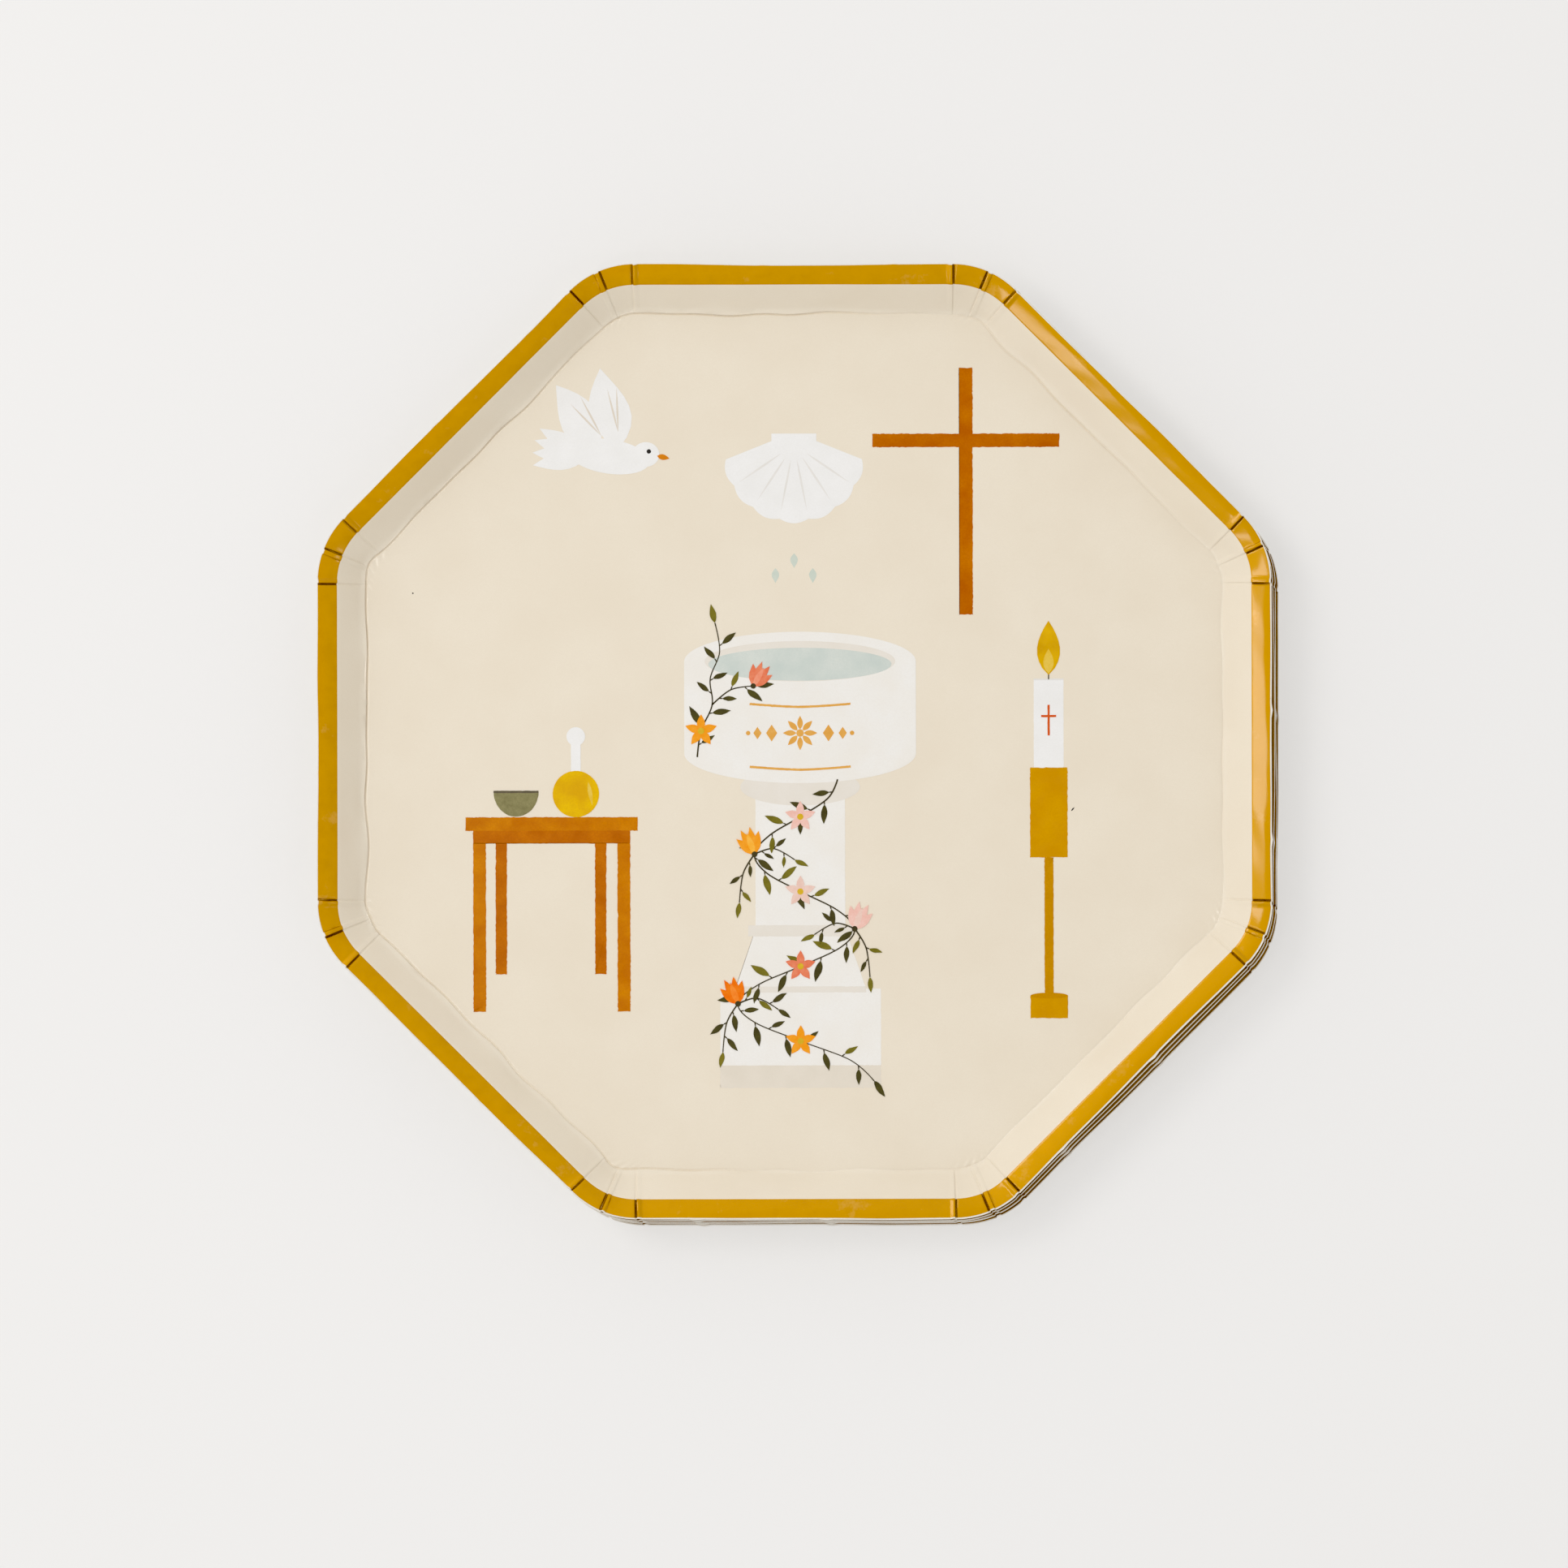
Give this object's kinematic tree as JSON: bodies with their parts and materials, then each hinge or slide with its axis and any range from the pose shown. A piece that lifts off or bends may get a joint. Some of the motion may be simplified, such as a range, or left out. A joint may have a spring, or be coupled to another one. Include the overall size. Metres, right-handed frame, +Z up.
{
  "type": "paper party plate stack",
  "caption": "Nested stack of octagonal pressed-paperboard party plates with a printed cream face, a sloped wall, pleated corners and a gold foil rim.",
  "frame": {"origin": "middle of the lowest plate's underside, where the stack rests", "axes": "+Z up out of the plates; +Y towards the top of the printed picture; +X to its right; every flat side of the octagon is square to an axis or at 45 degrees to it"},
  "size_m": [0.2563, 0.2561, 0.0174],
  "materials": {
    "board": "matte",
    "printed_face": "satin",
    "foil_rim": "gloss"
  },
  "bodies": {
    "plate_1": {"plate_1_board": "board", "plate_1_printed_face": "printed_face", "plate_1_foil_rim": "foil_rim"},
    "plate_2": {"plate_2_board": "board", "plate_2_printed_face": "printed_face", "plate_2_foil_rim": "foil_rim"},
    "plate_3": {"plate_3_board": "board", "plate_3_printed_face": "printed_face", "plate_3_foil_rim": "foil_rim"},
    "plate_4": {"plate_4_board": "board", "plate_4_printed_face": "printed_face", "plate_4_foil_rim": "foil_rim"}
  },
  "joints": [
    {"name": "lift_plate_2", "type": "slide", "parent": "plate_1", "child": "plate_2", "axis": [0, 0, 1], "range_m": [0, 0.06]},
    {"name": "lift_plate_3", "type": "slide", "parent": "plate_2", "child": "plate_3", "axis": [0, 0, 1], "range_m": [0, 0.06]},
    {"name": "lift_plate_4", "type": "slide", "parent": "plate_3", "child": "plate_4", "axis": [0, 0, 1], "range_m": [0, 0.06]}
  ]
}
